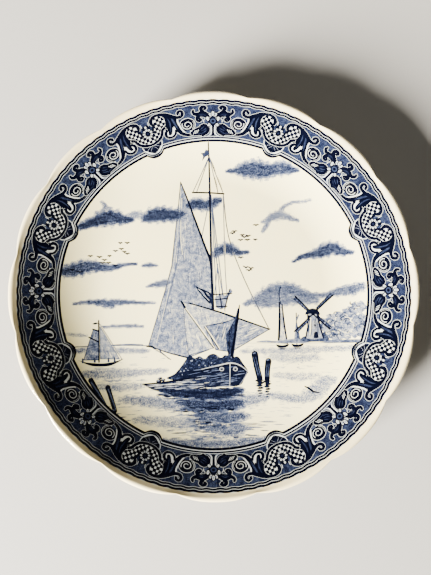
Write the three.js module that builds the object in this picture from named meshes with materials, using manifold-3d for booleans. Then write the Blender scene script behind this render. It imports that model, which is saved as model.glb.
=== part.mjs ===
// A souvenir wall plate of glazed earthenware: a scalloped rim, a sloping border, a round well and a foot
// ring pierced for a hanging wire. The decoration is nine fired sheets of ceramic colour, one round scene in
// the well and eight equal lengths of border on the slope of the rim, each lying in a shallow recess.
// Millimetres, +Z up, the foot ring standing on Z = 0 and the plate's axis on Z. The scene's sky is at +Y.
import * as THREE from "three";
import { mergeVertices } from "three/addons/utils/BufferGeometryUtils.js";
import Module from "manifold-3d";

// Overall sizes. The diameter is taken across the crests of the rim's lobes.
const RIM_DIAMETER = 390;
const RIM_HEIGHT = 41;

// The rim: its scallops, its rolled lip and the printed border inside the lip.
const LOBE_COUNT = 16;
const LOBE_DEPTH = 4.4; // how far each notch between two lobes reaches in from the crests
const NOTCH_SHARPNESS = 2.6; // 1 is a plain V, more draws the notch in and flattens the lobe's top
const LIP_WIDTH = 8; // from the border's outer edge to the crest of a lobe
const LIP_RADIUS = 3.4; // of the roll along the plate's edge
const LIP_RISE = 2; // from the border's outer edge up to the top of the lip
const BORDER_WIDTH = 37;
const BORDER_COUNT = 8; // equal lengths of border

// The well and the wall of the pot.
const CAVETTO_RISE = 8.5; // from the well's floor up to the border's inner edge
const WALL = 6;

// The foot ring and its two holes for the hanging wire.
const FOOT_DIAMETER = 232;
const FOOT_HEIGHT = 8.5; // depth of the recess that the foot ring encloses
const FOOT_WIDTH = 4.5; // of the face it rests on
const FOOT_DRAFT = 3; // how far each side of the ring leans out from its resting face to its root
const FOOT_CHAMFER = 0.7;
const WIRE_HOLE_DIAMETER = 3;
const WIRE_HOLE_SPREAD = 18; // degrees between the two holes

// The printed sheets.
const PRINT_THICKNESS = 0.3;
const CLEARANCE = 0.3; // between a sheet and what it lies in, and between two sheets

// How finely the round shapes are divided.
const TURN_STEPS = LOBE_COUNT * 6;
const SCENE_TURN_STEPS = TURN_STEPS / 2;
const CAVETTO_STEPS = 5;
const LIP_STEPS = 4;
const WIRE_HOLE_SIDES = 12;
const SHORTEST_STEP = 1; // between two bends of the face's section
const WELD_DISTANCE = 1e-3; // corners closer than this are one corner

const rimRadius = RIM_DIAMETER / 2;
const borderOuter = rimRadius - LIP_WIDTH;
const borderInner = borderOuter - BORDER_WIDTH;
const floorTop = FOOT_HEIGHT + WALL;
const borderFoot = floorTop + CAVETTO_RISE; // height of the face at the border's inner edge
const borderTop = RIM_HEIGHT - LIP_RISE; // height of the face at the border's outer edge
const slope = Math.atan2(borderTop - borderFoot, BORDER_WIDTH);
const cavettoRadius = CAVETTO_RISE / (1 - Math.cos(slope));
const floorEdge = borderInner - cavettoRadius * Math.sin(slope);
const footOuter = FOOT_DIAMETER / 2;
const footInner = footOuter - FOOT_WIDTH;
const recessDepth = PRINT_THICKNESS + CLEARANCE;

// The plate's face as height over radius: a flat floor, a round cavetto and a straight sloping border.
function faceHeight(radius) {
  if (radius <= floorEdge) return floorTop;
  if (radius >= borderInner) return borderFoot + (radius - borderInner) * Math.tan(slope);
  const across = radius - floorEdge;
  return floorTop + cavettoRadius - Math.sqrt(cavettoRadius ** 2 - across ** 2);
}

// How steeply the face climbs at a radius, as an angle.
function faceAngle(radius) {
  if (radius <= floorEdge) return 0;
  if (radius >= borderInner) return slope;
  return Math.asin((radius - floorEdge) / cavettoRadius);
}

function steps(from, to, count) {
  return Array.from({ length: count + 1 }, (_, i) => from + ((to - from) * i) / count);
}

// Points of the face from one radius out to another, lowered by drop.
function facePoints(from, to, drop) {
  const bends = steps(floorEdge, borderInner, CAVETTO_STEPS);
  const between = bends.filter((radius) => radius > from + SHORTEST_STEP && radius < to - SHORTEST_STEP);
  return [from, ...between, to].map((radius) => new THREE.Vector2(radius, faceHeight(radius) - drop));
}

// Points of the underside, one wall's thickness below the face, from the axis out to the lip.
function undersidePoints() {
  const radii = [...steps(floorEdge, borderInner, CAVETTO_STEPS), borderOuter];
  const below = (radius) =>
    new THREE.Vector2(
      radius + WALL * Math.sin(faceAngle(radius)),
      faceHeight(radius) - WALL * Math.cos(faceAngle(radius)),
    );
  return [new THREE.Vector2(0, FOOT_HEIGHT), ...radii.map(below)];
}

// The rolled lip, from the border's outer edge over the top and round to the end of the underside.
function lipPoints(under) {
  const start = new THREE.Vector2(borderOuter + CLEARANCE, faceHeight(borderOuter + CLEARANCE));
  const crest = new THREE.Vector2(rimRadius - LIP_RADIUS, RIM_HEIGHT);
  const edge = new THREE.Vector2(rimRadius, RIM_HEIGHT - LIP_RADIUS);
  const bend = (from, corner, to) => new THREE.QuadraticBezierCurve(from, corner, to).getPoints(LIP_STEPS);
  return [
    ...bend(start, new THREE.Vector2((start.x + crest.x) / 2, crest.y), crest),
    ...bend(crest, new THREE.Vector2(edge.x, crest.y), edge).slice(1),
    ...bend(edge, new THREE.Vector2(edge.x, under.y), under).slice(1, -1),
  ];
}

// The foot ring's section. Its root ends in the middle of the wall, so that the ring is one with the body.
function footPoints() {
  const innerRoot = footInner - FOOT_DRAFT;
  const outerRoot = footOuter + FOOT_DRAFT;
  const section = [
    new THREE.Vector2(innerRoot, faceHeight(innerRoot) - WALL / 2),
    new THREE.Vector2(footInner - FOOT_CHAMFER / 2, FOOT_CHAMFER),
    new THREE.Vector2(footInner + FOOT_CHAMFER, 0),
    new THREE.Vector2(footOuter - FOOT_CHAMFER, 0),
    new THREE.Vector2(footOuter + FOOT_CHAMFER / 2, FOOT_CHAMFER),
    new THREE.Vector2(outerRoot, faceHeight(outerRoot) - WALL / 2),
  ];
  return [...section, section[0]];
}

// How far a notch reaches at this bearing, from 0 on a lobe to 1 in the notch. Lobes are centred on +X.
function notch(bearing) {
  const pitch = (2 * Math.PI) / LOBE_COUNT;
  const turns = bearing / pitch - 0.5;
  const offNotch = Math.abs(turns - Math.round(turns)) * 2;
  return (1 - offNotch) ** NOTCH_SHARPNESS;
}

// Draws the lip in at each notch. What lies inside the border's outer edge stays round.
function scallop(geometry) {
  const at = geometry.getAttribute("position");
  for (let i = 0; i < at.count; i++) {
    const radius = Math.hypot(at.getX(i), at.getY(i));
    const outward = (radius - borderOuter) / LIP_WIDTH;
    if (outward <= 0) continue;
    const share = outward ** 2 * (2 - outward);
    const scale = 1 - (LOBE_DEPTH * notch(Math.atan2(at.getY(i), at.getX(i))) * share) / radius;
    at.setXY(i, at.getX(i) * scale, at.getY(i) * scale);
  }
  return geometry;
}

// Turns a section round the plate's axis.
function turned(points, turnSteps) {
  return new THREE.LatheGeometry(points, turnSteps).rotateX(Math.PI / 2);
}

const wasm = await Module();
wasm.setup();

function solidFrom(geometry) {
  const bare = geometry.clone().deleteAttribute("normal").deleteAttribute("uv");
  const merged = mergeVertices(bare, WELD_DISTANCE);
  return new wasm.Manifold(
    new wasm.Mesh({
      numProp: 3,
      vertProperties: new Float32Array(merged.attributes.position.array),
      triVerts: new Uint32Array(merged.index.array),
    }),
  );
}

function geometryFrom(solid) {
  const { vertProperties, triVerts } = solid.getMesh();
  const geometry = new THREE.BufferGeometry();
  geometry.setAttribute("position", new THREE.BufferAttribute(vertProperties, 3));
  geometry.setIndex(new THREE.BufferAttribute(triVerts, 1));
  geometry.computeVertexNormals();
  return geometry;
}

// A drill for one of the two wire holes, which lie on either side of the scene's sky.
function wireDrill(side) {
  const reach = 2 * (FOOT_WIDTH + 2 * FOOT_DRAFT);
  const radius = WIRE_HOLE_DIAMETER / 2;
  return new THREE.CylinderGeometry(radius, radius, reach, WIRE_HOLE_SIDES)
    .rotateZ(Math.PI / 2)
    .translate((footInner + footOuter) / 2, 0, (FOOT_HEIGHT + FOOT_CHAMFER) / 2)
    .rotateZ(Math.PI / 2 + (side * THREE.MathUtils.degToRad(WIRE_HOLE_SPREAD)) / 2);
}

// The clay body: the dish with its scalloped lip, and the foot ring with the two wire holes through it.
function earthenwareBody() {
  const underside = undersidePoints();
  const section = [
    ...underside,
    ...lipPoints(underside[underside.length - 1]).reverse(),
    ...facePoints(0, borderOuter + CLEARANCE, recessDepth).reverse(),
  ];
  const dish = solidFrom(scallop(turned(section, TURN_STEPS)));
  const footRing = solidFrom(turned(footPoints(), TURN_STEPS));
  const holes = [-1, 1].map((side) => solidFrom(wireDrill(side)));
  return geometryFrom(holes.reduce((body, hole) => body.subtract(hole), dish.add(footRing)));
}

// The scene's round sheet, which reaches from the plate's axis up the cavetto to the border.
function scenePrint() {
  const edge = borderInner - CLEARANCE;
  const section = [...facePoints(0, edge, PRINT_THICKNESS), ...facePoints(0, edge, 0).reverse()];
  return geometryFrom(solidFrom(turned(section, SCENE_TURN_STEPS)));
}

// One length of border: the part of a sloping ring that lies in its own wedge of the plate.
function borderPrint(index) {
  const lower = facePoints(borderInner, borderOuter, PRINT_THICKNESS);
  const upper = facePoints(borderInner, borderOuter, 0).reverse();
  const ring = solidFrom(turned([...lower, ...upper, lower[0]], TURN_STEPS));
  const halfTurn = Math.PI / BORDER_COUNT;
  const apex = CLEARANCE / 2 / Math.sin(halfTurn);
  const reach = rimRadius / Math.cos(halfTurn);
  const wedge = new THREE.Shape([
    new THREE.Vector2(apex, 0),
    new THREE.Vector2(apex + reach * Math.cos(halfTurn), -reach * Math.sin(halfTurn)),
    new THREE.Vector2(apex + reach * Math.cos(halfTurn), reach * Math.sin(halfTurn)),
  ]);
  const cutter = new THREE.ExtrudeGeometry(wedge, { depth: RIM_HEIGHT, bevelEnabled: false });
  cutter.rotateZ((2 * index + 1) * halfTurn);
  return geometryFrom(ring.intersect(solidFrom(cutter)));
}

const glazedClay = new THREE.MeshStandardMaterial({ color: 0xf1ead6, roughness: 0.15, metalness: 0 });
const blueScene = new THREE.MeshStandardMaterial({ color: 0xb9c3d2, roughness: 0.15, metalness: 0 });
const blueBorder = new THREE.MeshStandardMaterial({ color: 0x2f4a7c, roughness: 0.15, metalness: 0 });

function piece(name, geometry, material) {
  const mesh = new THREE.Mesh(geometry, material);
  mesh.name = name;
  return mesh;
}

const plate = new THREE.Group();
plate.add(piece("earthenware_body", earthenwareBody(), glazedClay));
plate.add(piece("scene_print", scenePrint(), blueScene));
for (let index = 0; index < BORDER_COUNT; index++)
  plate.add(piece(`border_print_${index + 1}`, borderPrint(index), blueBorder));

export default plate;
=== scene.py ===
"""A round wall plate of glazed earthenware with a scalloped rim, a border of blue ornament in eight equal
lengths and a blue harbour scene in its well. The body is turned from one section; every blue sheet is a thin
slab of fired colour whose top is cut along the brush marks drawn in it. Drawings are in millimetres."""

import math
import random

import bmesh
import bpy
import numpy as np
from mathutils import Matrix, Vector
from mathutils.geometry import delaunay_2d_cdt


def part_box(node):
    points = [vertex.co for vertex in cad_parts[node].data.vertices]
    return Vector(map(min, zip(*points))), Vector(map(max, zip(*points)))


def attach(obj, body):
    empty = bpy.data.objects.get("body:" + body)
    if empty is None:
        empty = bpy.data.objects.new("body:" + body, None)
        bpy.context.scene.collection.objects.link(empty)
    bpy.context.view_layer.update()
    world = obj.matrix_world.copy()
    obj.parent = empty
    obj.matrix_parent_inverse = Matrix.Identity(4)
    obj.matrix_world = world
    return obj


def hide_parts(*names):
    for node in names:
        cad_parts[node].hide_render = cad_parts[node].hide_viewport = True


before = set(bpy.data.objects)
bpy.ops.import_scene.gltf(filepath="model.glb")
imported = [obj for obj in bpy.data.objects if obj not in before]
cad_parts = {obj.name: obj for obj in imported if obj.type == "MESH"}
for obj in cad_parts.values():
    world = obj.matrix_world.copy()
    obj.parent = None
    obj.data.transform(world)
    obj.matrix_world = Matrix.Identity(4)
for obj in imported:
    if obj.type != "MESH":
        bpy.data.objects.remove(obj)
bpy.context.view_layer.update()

MM = 0.001

# ---------------------------------------------------------------- sizes, taken from the CAD pieces
body_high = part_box("earthenware_body")[1]
scene_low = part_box("scene_print")[0]
border_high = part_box("border_print_1")[1]

RIM_RADIUS = body_high[0] / MM
RIM_HEIGHT = body_high[2] / MM
BORDER_OUTER = border_high[0] / MM
BORDER_TOP = border_high[2] / MM
BORDER_WIDTH = 37.0
BORDER_INNER = BORDER_OUTER - BORDER_WIDTH
SHEET = 0.3  # thickness of a sheet of colour
FLOOR_TOP = scene_low[2] / MM + SHEET
CAVETTO_RISE = 8.5
BORDER_FOOT = FLOOR_TOP + CAVETTO_RISE
WALL = 6.0
LENGTHS = 8  # of border
LOBES = 16
LOBE_DEPTH = 4.4
NOTCH_SHARPNESS = 2.6
FOOT_OUTER = 116.0
FOOT_INNER = 111.5
FOOT_HEIGHT = FLOOR_TOP - WALL

SLOPE = math.atan2(BORDER_TOP - BORDER_FOOT, BORDER_WIDTH)
CAVETTO_RADIUS = CAVETTO_RISE / (1 - math.cos(SLOPE))
FLOOR_EDGE = BORDER_INNER - CAVETTO_RADIUS * math.sin(SLOPE)


def face_height(radius):
    """Height of the plate's face: a flat floor, a round cavetto and a straight sloping border."""
    radius = np.asarray(radius, float)
    across = np.clip(radius - FLOOR_EDGE, 0, BORDER_INNER - FLOOR_EDGE)
    curved = FLOOR_TOP + CAVETTO_RADIUS - np.sqrt(CAVETTO_RADIUS**2 - across**2)
    return curved + np.maximum(radius - BORDER_INNER, 0) * math.tan(SLOPE)


def face_angle(radius):
    """How steeply the face climbs at a radius."""
    across = np.clip(np.asarray(radius, float) - FLOOR_EDGE, 0, BORDER_INNER - FLOOR_EDGE)
    return np.arcsin(across / CAVETTO_RADIUS)


# ---------------------------------------------------------------- drawing tools
# A drawing is a list of marks, each an outline with an ink and a grain. Later marks lie over earlier ones.
# Ink runs from 0, the bare glaze, to 1, the darkest blue. Grain says how stippled a mark is.
BARE, PALE, SLATE, MID, NAVY = 0.0, 0.28, 0.62, 0.74, 1.0
DARK_INK = 0.84  # strokes darker than this always run out into the glaze
LINE_INK = 0.4  # strokes darker than this run out too in a fine drawing
FINE_SPREAD = 0.3  # a drawing with less spread than this is fine
PALE_SHRINK = 0.35  # how much of the spread pale strokes lose to their dark neighbours
THINNEST = 0.06  # half width of the finest brush stroke


def smooth(points, per_span=6):
    """A smooth line through rows of numbers: places, and half widths where they are given."""
    p = np.array(points, float)
    p = np.vstack([2 * p[0] - p[1], p, 2 * p[-1] - p[-2]])
    t = np.linspace(0, 1, per_span, endpoint=False)[:, None]
    spans = []
    for a, b, c, d in zip(p[:-3], p[1:-2], p[2:-1], p[3:]):
        bend = (2 * a - 5 * b + 4 * c - d) * t**2 + (3 * b - a - 3 * c + d) * t**3
        spans.append(0.5 * (2 * b + (c - a) * t + bend))
    return np.vstack(spans + [p[-2:-1]])


def closed(points, per_span=4):
    """The smooth closed outline through some places."""
    ring = [tuple(p) for p in points]
    return smooth(ring[-1:] + ring + ring[:1], per_span)[per_span:-1]


def oval(centre, radii, turn=0.0, steps=14):
    a = np.linspace(0, 2 * math.pi, steps, endpoint=False)
    c, s = math.cos(math.radians(turn)), math.sin(math.radians(turn))
    x, y = radii[0] * np.cos(a), radii[1] * np.sin(a)
    return np.stack([centre[0] + c * x - s * y, centre[1] + s * x + c * y], 1)


def brush(points, widen=0.0, per_span=6, cap=3):
    """The outline of a brush stroke through rows of (x, y, half width), with round ends."""
    line = smooth(points, per_span)
    xy, half = line[:, :2], np.maximum(line[:, 2] + widen, THINNEST)
    along = np.gradient(xy, axis=0)
    along /= np.linalg.norm(along, axis=1)[:, None] + 1e-9
    side = np.stack([-along[:, 1], along[:, 0]], 1)
    turns = np.linspace(0, math.pi, cap + 2)[1:-1]

    def end(at, a, s, w):
        return [xy[at] + w * (s * math.cos(t) + a * math.sin(t)) for t in turns]

    left = xy + side * half[:, None]
    right = (xy - side * half[:, None])[::-1]
    last = end(-1, along[-1], side[-1], half[-1])
    first = end(0, -along[0], -side[0], half[0])
    return np.vstack([left, last, right, first])


def lens(start, end, half):
    """A short stroke that is pointed at both ends."""
    a, b = np.array(start, float), np.array(end, float)
    side = np.array((a[1] - b[1], b[0] - a[0])) / (np.linalg.norm(b - a) + 1e-9) * half
    near, far = a * 0.7 + b * 0.3, a * 0.3 + b * 0.7
    return np.array([a, near + side, far + side, b, far - side, near - side])


def even(*points, half=0.3):
    """Rows of (x, y, half width) for a line of one width."""
    return [(x, y, half) for x, y in points]


def inside(p, outline):
    x, y = outline[:, 0], outline[:, 1]
    nx, ny = np.roll(x, -1), np.roll(y, -1)
    crosses = (y > p[1]) != (ny > p[1])
    at = x + (p[1] - y) / np.where(ny == y, 1, ny - y) * (nx - x)
    return bool((crosses & (p[0] < at)).sum() % 2)


class Drawing:
    """Marks laid one over another. Spread is how far fired cobalt runs out past each brush stroke."""

    def __init__(self, spread=0.0):
        self.marks = []
        self.spread = spread

    def fill(self, outline, ink, grain=0.0):
        self.marks.append((np.array(outline, float), ink, grain))

    def stroke(self, points, ink, grain=0.0, widen=0.0, per_span=6):
        if ink > DARK_INK or (ink > LINE_INK and self.spread < FINE_SPREAD):
            widen += self.spread
        elif widen == 0:
            widen = -PALE_SHRINK * self.spread
        self.fill(brush(points, widen, per_span), ink, grain)

    def dash(self, middle, length, slip, half, ink, grain):
        """A level stroke, pointed at both ends, whose far end slips a little."""
        x, y = middle
        self.fill(lens((x - length / 2, y), (x + length / 2, y + slip), half), ink, grain)

    def line(self, half, ink, grain, *points, per_span=2):
        """A thin line of one width through some places."""
        self.stroke([(x, y, half) for x, y in points], ink, grain, per_span=per_span)

    def strokes(self, lines, ink, grain=0.0, halo=0.0):
        """Brush strokes of one ink, with a bare line of the halo's width kept round them all."""
        if halo:
            for line in lines:
                self.stroke(line, BARE, 0.0, halo)
        for line in lines:
            self.stroke(line, ink, grain)

    def ringed(self, centre, radii, turn=0.0, ring=0.42, dot=None):
        """A bare oval with a dark ring, and a pale dot in it where one is given."""
        self.fill(oval(centre, (radii[0] + ring, radii[1] + ring), turn), NAVY)
        self.fill(oval(centre, (radii[0] * 0.74, radii[1] * 0.8), turn), BARE)
        if dot:
            self.fill(oval(centre, (radii[0] * dot, radii[1] * dot), turn, 9), PALE + 0.06, 0.5)

    def mirrored(self, axis):
        """Follows every mark with its reflection in the upright line x = axis."""
        both = []
        for outline, ink, grain in self.marks:
            both.append((outline, ink, grain))
            both.append((outline[::-1] * (-1, 1) + (2 * axis, 0), ink, grain))
        self.marks = both

    def hatch(self, outline, lines, reach, lean, half, ink, rng, grain=0.3):
        """Random fine strokes inside an outline, all leaning one way. A try outside it counts a quarter."""
        low, high = outline.min(0), outline.max(0)
        drawn = 0
        while drawn < lines:
            x, y = rng.uniform(low[0], high[0]), rng.uniform(low[1], high[1])
            length = rng.uniform(*reach)
            slant = math.radians(lean + rng.uniform(-4, 4))
            end = (x + length * math.cos(slant), y + length * math.sin(slant))
            drawn += 0.25
            if inside((x, y), outline) and inside(end, outline):
                thin = half * rng.uniform(0.6, 1.3)
                self.fill(lens((x, y), end, thin), ink + rng.uniform(-0.08, 0.08), grain)
                drawn += 0.75


# ---------------------------------------------------------------- the border's ornament
# Drawn on a straight strip: x runs along the border from a flower (0) to a shell (HALF) and on to the next
# flower, and h is how far out from the border's inner edge a place lies. Everything mirrors at both.
HALF = 47.95
REPEAT = 2 * HALF
SLIDE = np.array((-1.84, -0.17))  # of the ornament against the ends and the inner edge of a length
HALO = 0.62
WAVES = 12
BUMP_REACH = 7.4
BUMP_DEPTH = 4.4


def wave(x, size=0.34):
    return size * np.cos(2 * np.pi * (np.asarray(x) - SLIDE[0]) / (REPEAT / WAVES))


def bump(x):
    """How far the border's inner lines swing in round a shell."""
    t = np.minimum(np.abs(np.asarray(x, float) - SLIDE[0] - HALF) / BUMP_REACH, 1)
    return BUMP_DEPTH * (1 - t**2.4)


def band(low, high):
    """The outline between two heights that change along the strip."""
    x = np.arange(-1, REPEAT + 1.5, 0.5)
    return np.vstack([np.stack([x, low(x) + 0 * x], 1), np.stack([x, high(x) + 0 * x], 1)[::-1]])


def line_along(height, half):
    return band(lambda x: height(x) - half, lambda x: height(x) + half)


def flower(d):
    d.ringed((3.7, 20.6), (1.15, 2.1), -12, dot=0.42)
    d.ringed((2.9, 15.6), (1.15, 1.7), 38, dot=0.42)
    d.ringed((1.75, 24.0), (1.1, 1.9), -28, dot=0.5)
    d.ringed((0, 25.0), (1.15, 2.3), dot=0.5)
    d.fill(oval((0, 18.6), (3.3, 3.4), steps=22), NAVY)
    d.fill(oval((0, 18.6), (2.1, 2.1), steps=18), SLATE)
    d.fill(oval((0, 18.6), (1.15, 1.2), steps=16), NAVY)


def stem(d):
    d.stroke([(1.45, 14.6, 0.55), (1.35, 11, 0.55), (1.6, 8, 0.6), (3.3, 6.0, 0.5), (5.6, 5.2, 0.3)], BARE)
    d.fill([(-0.2, 15.2), (0.95, 15.2), (0.85, 11), (0.95, 8), (1.4, 6.0), (-0.2, 6.0)], NAVY)
    d.stroke([(2.0, 6.7, 0.5), (3.4, 5.7, 0.42), (4.8, 5.2, 0.2)], PALE + 0.1, 0.4)


def antler_leaf(d):
    body = [(3.6, 21.4, 1.0), (4.9, 23.7, 1.95), (7.4, 24.9, 2.3), (10.1, 24.7, 1.65), (12.3, 25.2, 1.0),
            (13.6, 26.8, 0.7), (13.3, 28.6, 0.45)]
    upper = [(6.6, 26.2, 1.0), (7.9, 28.4, 0.95), (7.8, 30.1, 0.95), (6.4, 30.9, 0.95), (5.2, 30.0, 0.9),
             (5.5, 28.8, 0.6)]
    lower = [(8.6, 24.0, 1.0), (10.6, 22.6, 0.95), (11.1, 20.7, 0.95), (10.0, 19.3, 0.95),
             (8.8, 20.0, 0.85), (9.2, 21.1, 0.5)]
    d.strokes([body, upper, lower], NAVY, 0.1, HALO)
    d.stroke([(5.0, 23.4, 0.3), (7.4, 24.7, 0.55), (9.8, 24.3, 0.3)], MID, 0.4)
    d.stroke([(6.2, 22.4, 0.15), (8.0, 23.4, 0.3), (9.4, 22.9, 0.2)], SLATE, 0.4)
    d.stroke([(5.6, 20.9, 0.3), (6.7, 19.4, 0.36), (6.6, 17.8, 0.3)], BARE)


def acanthus(d):
    leaf = [(3.1, 12.6), (4.3, 14.7), (6.4, 15.8), (8.7, 15.0), (10.6, 13.3), (13.0, 12.4), (15.2, 11.2),
            (16.6, 9.2), (15.3, 7.9), (11.7, 7.6), (9.3, 7.4), (7.8, 6.2), (6.9, 7.1), (4.8, 8.1),
            (3.3, 10.2)]
    outline = closed(leaf)
    rim = even(*leaf, *leaf[:2], half=0.4)
    d.stroke(rim, BARE, 0, HALO)
    d.fill(outline, NAVY, 0.1)
    d.stroke(rim, NAVY)
    veins = [
        [(5.0, 12.8, 0.3), (6.4, 11.6, 0.6), (8.6, 10.6, 0.35)],
        [(4.7, 11.2, 0.25), (6.3, 9.7, 0.5), (8.3, 8.8, 0.3)],
        [(6.6, 14.2, 0.25), (8.2, 12.9, 0.5), (9.4, 11.7, 0.25)],
        [(7.2, 7.8, 0.2), (9.4, 8.4, 0.35), (12.6, 8.6, 0.25)],
    ]
    for vein in veins:
        d.stroke(vein, SLATE + 0.08, 0.5)
    for k in range(3):
        x = 10.9 + 1.35 * k
        d.stroke([(x, 11.7 - 0.35 * k, 0.34), (x + 1.5, 9.0 - 0.25 * k, 0.3)], BARE)


def volute(d):
    centre = np.array((18.6, 16.9))
    d.fill(oval(centre, (5.9, 5.9), steps=40), BARE)
    d.fill(oval(centre, (5.6, 5.6), steps=36), NAVY)
    turns = np.radians(np.arange(40, 580, 15))
    reach = np.linspace(1.15, 4.0, len(turns))
    coil = []
    for a, r in zip(turns, reach):
        coil.append((centre[0] - r * math.cos(a), centre[1] - r * math.sin(a), 0.3 + 0.02 * r))
    d.stroke(coil, BARE, per_span=2)
    arc = []
    for a in np.radians(np.arange(150, 236, 12)):
        arc.append((centre[0] + 4.8 * math.cos(a), centre[1] + 4.8 * math.sin(a), 0.24))
    d.stroke(arc, BARE, per_span=2)
    d.fill([(16.8, 11.9), (21.4, 11.9), (21.9, 9.2), (16.4, 8.9)], BARE)
    d.fill([(17.3, 12.2), (21.1, 12.2), (21.4, 9.8), (17.0, 9.6)], SLATE, 0.6)


CREST = [(24.2, 27.2, 0.5), (23.8, 28.7, 0.7), (22.4, 29.6, 0.7), (21.2, 28.7, 0.7), (21.0, 26.7, 0.75),
         (22.3, 24.9, 0.85), (25.4, 24.8, 1.0), (28.7, 26.7, 1.15), (32.4, 29.2, 1.05), (35.7, 30.5, 0.8),
         (38.8, 30.8, 0.75), (41.5, 29.8, 0.8), (43.2, 27.5, 0.85), (43.1, 25.0, 0.75), (42.3, 23.6, 0.4)]


def crest(d):
    """The dark crest of the great leaf, once more over the horn that it curls round."""
    d.stroke(CREST, NAVY, 0.1)


def great_leaf(d):
    blade = [(25.2, 24.6), (28.6, 27.6), (32.4, 30.0), (36.0, 30.6), (34.8, 29.2), (33.6, 26.6),
             (33.2, 23.2), (33.8, 20.7), (35.6, 19.4), (37.3, 18.4), (37.0, 16.9), (35.2, 16.3),
             (33.7, 17.2), (33.2, 15.4), (33.6, 12.6), (33.3, 11.3), (31.6, 11.3), (30.4, 13.4),
             (29.6, 16.4), (29.0, 19.4), (28.0, 16.6), (26.9, 13.4), (25.2, 10.9), (22.4, 9.9),
             (22.7, 12.0), (23.9, 14.6), (24.9, 17.8), (25.6, 21.2)]
    hook = [(27.7, 14.4, 0.35), (28.1, 12.4, 0.55), (29.4, 10.5, 0.7), (31.8, 9.3, 0.72), (34.3, 9.9, 0.72),
            (35.6, 12.0, 0.75), (35.2, 14.3, 0.75), (33.8, 15.9, 0.65)]
    runner = [(26.2, 14.5, 1.2), (24.4, 11.6, 1.2), (22.4, 9.7, 1.0), (19.6, 8.4, 0.85), (17.0, 8.2, 0.85),
              (14.4, 8.4, 0.9), (11.2, 8.4, 0.8)]
    edge = even(*blade, blade[0])
    d.strokes([CREST, hook, runner], NAVY, 0.1, HALO)
    d.stroke(edge, BARE, 0, HALO, per_span=3)
    hollow = [(28.8, 17.6), (27.6, 13.8), (29.0, 11.5), (31.8, 10.6), (34.0, 12.2), (33.0, 15.0),
              (30.6, 16.8)]
    d.fill(hollow, BARE)
    d.fill([(33.2, 28.6), (35.6, 31.0), (38.6, 31.0), (36.4, 28.4), (34.4, 26.4)], BARE)
    d.strokes([CREST, hook, runner], NAVY, 0.1)
    d.fill(closed(blade), NAVY, 0.15)
    d.stroke([(28.7, 14.8, 0.3), (29.5, 12.2, 0.5), (31.7, 10.7, 0.5), (34.2, 11.1, 0.3)], BARE)
    veins = [
        [(34.4, 30.4, 0.2), (30.9, 27.6, 0.55), (28.8, 24.2, 0.8), (27.4, 19.6, 0.8), (26.0, 15.0, 0.3)],
        [(31.8, 26.4, 0.2), (30.9, 22.6, 0.6), (30.9, 18.6, 0.55), (31.6, 14.0, 0.25)],
        [(26.0, 25.0, 0.2), (28.0, 25.4, 0.4), (30.0, 27.6, 0.2)],
    ]
    for vein in veins:
        d.stroke(vein, MID - 0.04, 0.5)
    d.stroke([(29.9, 25.0, 0.14), (29.3, 20.6, 0.2), (29.0, 17.4, 0.12)], NAVY)
    d.stroke([(28.4, 24.0, 0.1), (27.9, 20.6, 0.2), (26.8, 16.4, 0.1)], SLATE, 0.3)
    d.fill(oval((35.6, 17.8), (1.3, 1.2)), NAVY)


def chequer(centre, outline):
    """One dark chequer, drawn in wherever it would cross the outline."""
    corners = [(-1.1, -1.3), (0, -1.45), (1.1, -1.3), (1.24, 0), (1.1, 1.3), (0, 1.45), (-1.1, 1.3),
               (-1.24, 0)]
    drawn_in = []
    for corner in np.array(corners):
        for share in (1.0, 0.8, 0.6, 0.4, 0.2, 0.0):
            place = centre + corner * share
            if inside(place, outline):
                break
        drawn_in.append(place)
    return np.array(drawn_in)


def horn(d):
    edge = [(33.9, 22.4), (33.9, 26.1), (35.6, 29.0), (38.3, 30.2), (40.9, 29.0), (42.0, 26.3),
            (41.9, 23.8), (43.0, 21.2), (44.1, 18.2), (45.6, 15.9), (48.2, 15.0), (48.2, 10.0),
            (44.6, 10.4), (41.4, 12.0), (39.3, 14.8), (38.2, 17.8), (36.2, 19.6), (34.5, 20.7)]
    rim = [(35.4, 18.4, 0.6), (37.2, 17.0, 0.6), (38.2, 14.2, 0.6), (40.3, 11.2, 0.65), (43.3, 9.4, 0.65),
           (46.2, 8.7, 0.6), (48.3, 8.5, 0.6)]
    d.stroke(rim, BARE, 0, HALO)
    outline = closed(edge)
    d.stroke(even(*edge, edge[0]), NAVY)
    d.fill(outline, BARE)
    column, row = 1.85, 2.25
    for i in range(-8, 2):
        for j in range(-6, 6):
            at = np.array((HALF + i * column, 19.9 + j * row))
            if inside(at, outline) and (i + j) % 2 == 0:
                d.fill(chequer(at, outline), NAVY)
    d.stroke(rim, NAVY)
    seam = [(42.2, 24.2, 0.4), (43.1, 21.2, 0.45), (44.1, 18.3, 0.42), (45.4, 16.0, 0.4), (46.6, 15.2, 0.3)]
    d.stroke(seam, NAVY)


def blossom(d):
    d.stroke([(45.3, 27.6, 0.3), (45.6, 24.0, 0.35), (46.2, 20.8, 0.3)], BARE)
    d.stroke([(46.3, 24.9, 0.3), (45.9, 22.2, 0.45), (46.5, 19.6, 0.5)], NAVY)
    heart = np.array((HALF, 18.5))
    d.fill(oval(heart, (3.7, 4.3), steps=24), NAVY)
    for bearing in (90, 128, 166, 204, 242, 270):
        a = math.radians(bearing)
        d.ringed(heart + (2.75 * math.cos(a), 3.3 * math.sin(a)), (1.05, 0.85), bearing, 0.22, dot=0.4)
    d.ringed((HALF, 24.2), (0.8, 1.2), 0, 0.35)
    d.fill(oval(heart, (0.6, 0.65)), MID)


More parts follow.
